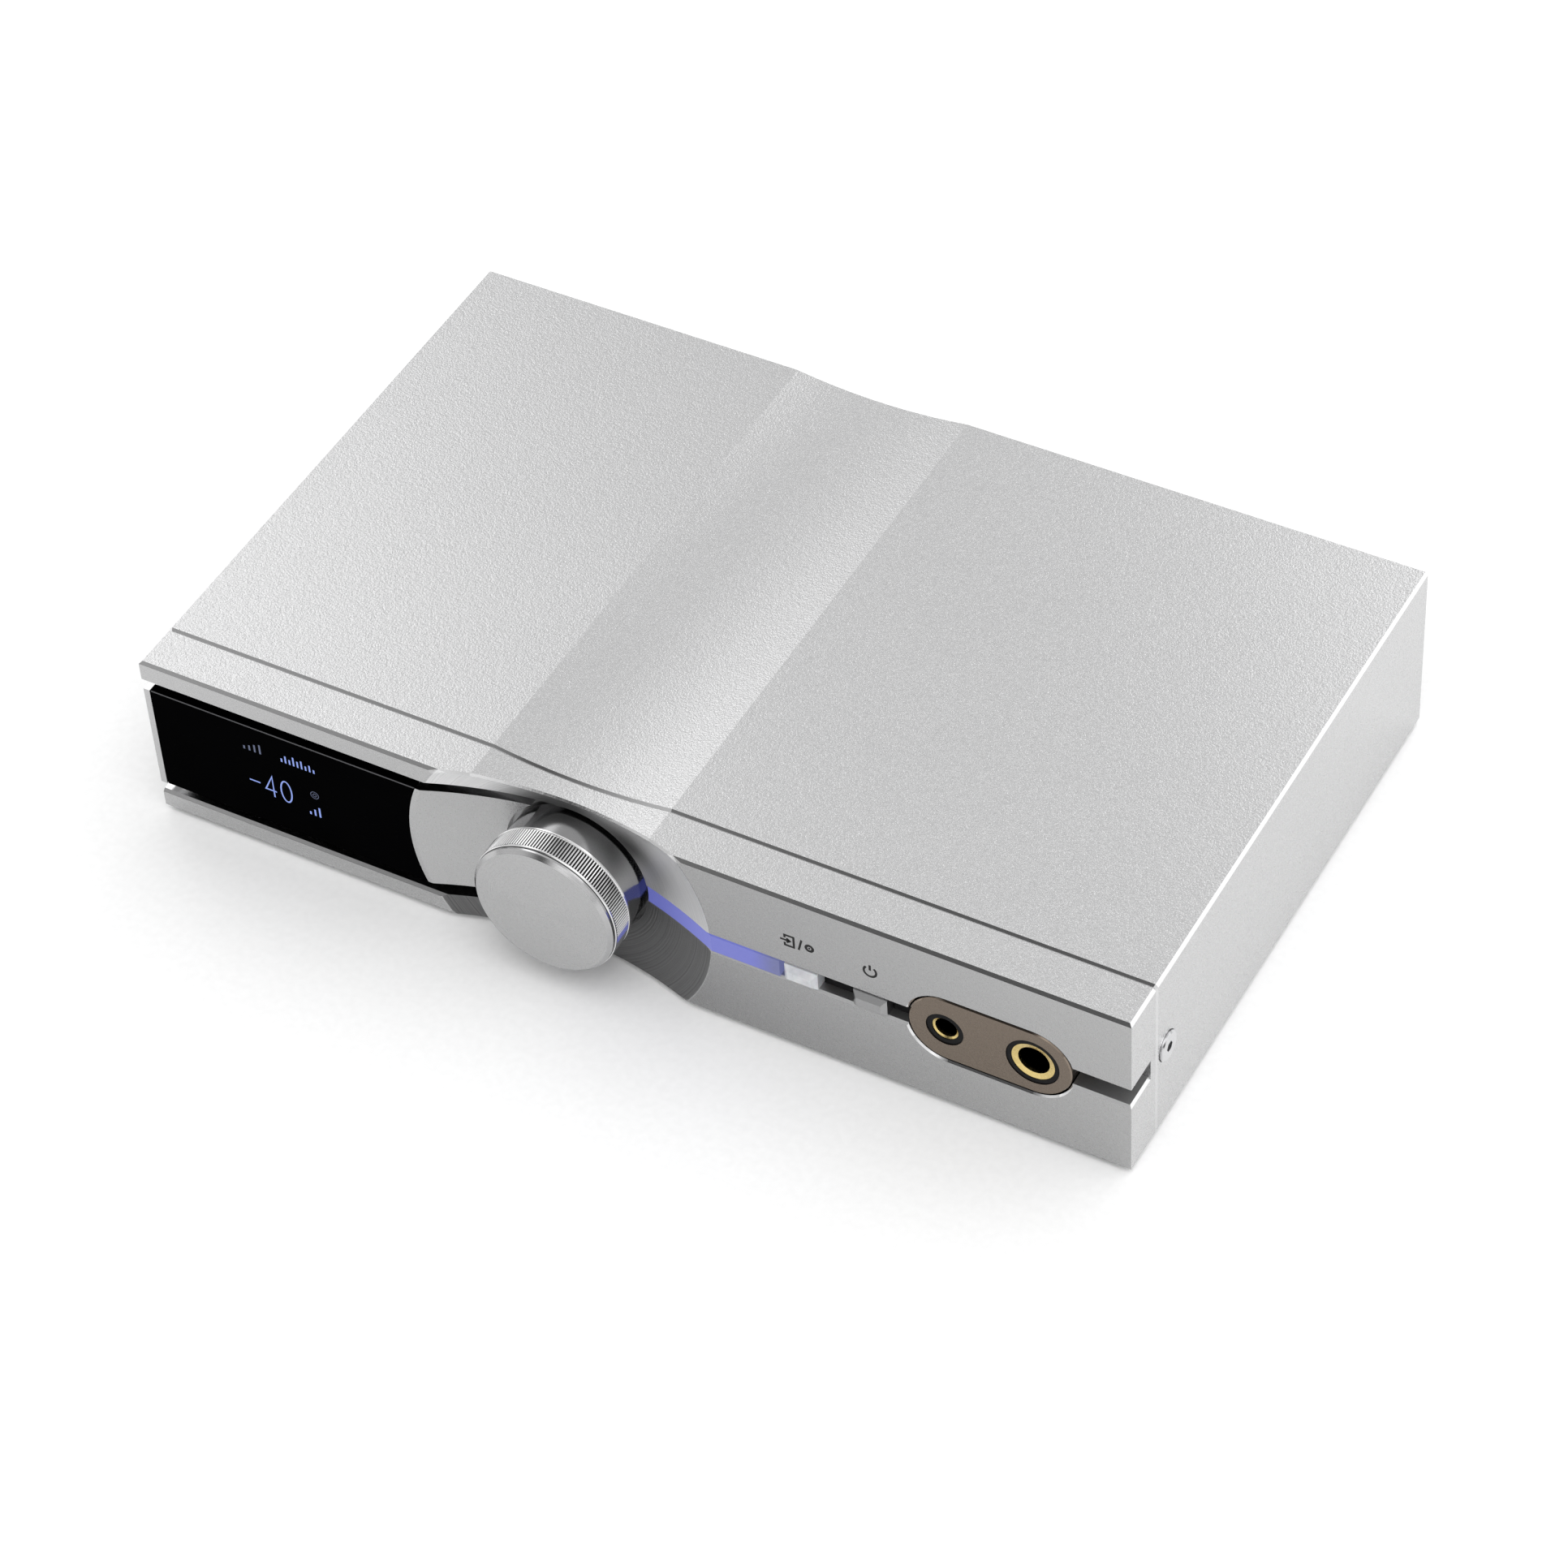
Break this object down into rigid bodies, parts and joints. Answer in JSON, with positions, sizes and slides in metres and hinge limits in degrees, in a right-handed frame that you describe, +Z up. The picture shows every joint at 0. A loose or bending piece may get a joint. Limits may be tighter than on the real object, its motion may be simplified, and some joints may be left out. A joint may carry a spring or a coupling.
{
  "type": "headphone amplifier",
  "caption": "Low desktop headphone amplifier with dished volume knob, dark display, light strip, push buttons and round headphone sockets in a milled metal front.",
  "frame": {"origin": "middle of the footprint of the whole unit, knob and rear sockets included, on the surface the feet stand on", "axes": "+X to the right seen from the front, +Y from the front panel to the rear, +Z up"},
  "size_m": [0.2152, 0.146, 0.041],
  "materials": {
    "case_aluminium": "bead-blasted and clear anodised, fine grain",
    "panel_aluminium": "bead-blasted and clear anodised, polished chamfers",
    "slab_aluminium": "fine satin anodised, turned in the dish",
    "knob_face": "fine concentric turning marks, polished bevel",
    "knob_knurl": "straight knurl between two polished rims",
    "knob_barrel": "smooth satin-polished metal",
    "display_glass": "black glossy cover glass",
    "screen": "small graphic screen behind the glass",
    "light_strip": "translucent light guide, lit blue-violet",
    "clear_button": "frosted clear plastic",
    "button_aluminium": "bead-blasted anodised",
    "black_plastic": "moulded black plastic",
    "socket_plate": "fine bead-blasted, bronze-grey anodised",
    "gold_plate": "gold plated, polished",
    "screw_steel": "polished stainless steel",
    "rubber": "black rubber pad",
    "rear_panel": "black anodised sheet",
    "board": "green lacquered circuit board",
    "chip_black": "moulded chip packages",
    "capacitor_sleeve": "shrunk dark sleeve",
    "ribbon": "flat flexible cable",
    "insert_white": "moulded insulator",
    "emitter": "light-emitting chips"
  },
  "bodies": {
    "amplifier": {"case_sleeve": "case_aluminium", "front_panel": "panel_aluminium", "display_carrier": "slab_aluminium", "display_glass": "display_glass", "oled_module": "screen", "display_board": "board", "display_ribbon": "ribbon", "carrier_screws": "screw_steel", "encoder_bush": "screw_steel", "encoder_nut": "screw_steel", "encoder_body": "black_plastic", "light_guide": "light_strip", "light_board": "board", "light_emitters": "emitter", "button_liner": "black_plastic", "switch_bodies": "black_plastic", "control_board": "board", "control_ribbon": "ribbon", "jack_plate": "socket_plate", "balanced_jack_bush": "gold_plate", "balanced_jack_body": "black_plastic", "standard_jack_bush": "gold_plate", "standard_jack_body": "black_plastic", "jack_pins": "gold_plate", "jack_board": "board", "main_board": "board", "board_standoffs": "gold_plate", "board_screws": "screw_steel", "filter_capacitors": "capacitor_sleeve", "board_chips": "chip_black", "relays": "black_plastic", "wireless_module": "screw_steel", "rear_panel": "rear_panel", "rear_panel_screws": "screw_steel", "rca_shells": "gold_plate", "rca_inserts": "insert_white", "rca_contacts": "gold_plate", "rca_housings": "black_plastic", "optical_socket": "black_plastic", "usb_shell": "screw_steel", "usb_tongue": "black_plastic", "dc_inlet": "black_plastic", "dc_pin": "gold_plate", "antenna_socket": "gold_plate", "antenna_lead": "black_plastic", "rubber_feet": "rubber", "side_screws": "screw_steel"},
    "knob_rotor": {"encoder_rotor": "insert_white"},
    "volume_knob": {"knob_cap": "knob_face", "knob_ring": "knob_knurl", "knob_barrel": "knob_barrel", "knob_grub_screw": "screw_steel", "encoder_shaft": "screw_steel"},
    "input_key": {"input_button": "clear_button", "input_plunger": "black_plastic"},
    "power_key": {"power_button": "button_aluminium", "power_plunger": "black_plastic"},
    "optical_shutter": {"optical_flap": "black_plastic"}
  },
  "joints": [
    {"name": "volume_turn", "type": "hinge", "parent": "amplifier", "child": "knob_rotor", "pos_m": [-0.01325, -0.0537, 0.02095], "axis": [0, -1, 0], "continuous": true},
    {"name": "volume_push", "type": "slide", "parent": "knob_rotor", "child": "volume_knob", "axis": [0, 1, 0], "range_m": [0, 0.0005], "stiffness_N_per_m": 3000, "springref_m": -0.0005},
    {"name": "input_button_push", "type": "slide", "parent": "amplifier", "child": "input_key", "axis": [0, 1, 0], "range_m": [0, 0.0003], "stiffness_N_per_m": 3000, "springref_m": -0.0003},
    {"name": "power_button_push", "type": "slide", "parent": "amplifier", "child": "power_key", "axis": [0, 1, 0], "range_m": [0, 0.0003], "stiffness_N_per_m": 3000, "springref_m": -0.0003},
    {"name": "optical_shutter_swing", "type": "hinge", "parent": "amplifier", "child": "optical_shutter", "pos_m": [0.048, 0.0641, 0.01785], "axis": [-1, 0, 0], "range_deg": [0, 75], "stiffness_Nm_per_rad": 0.0004, "springref_deg": -17.19}
  ]
}
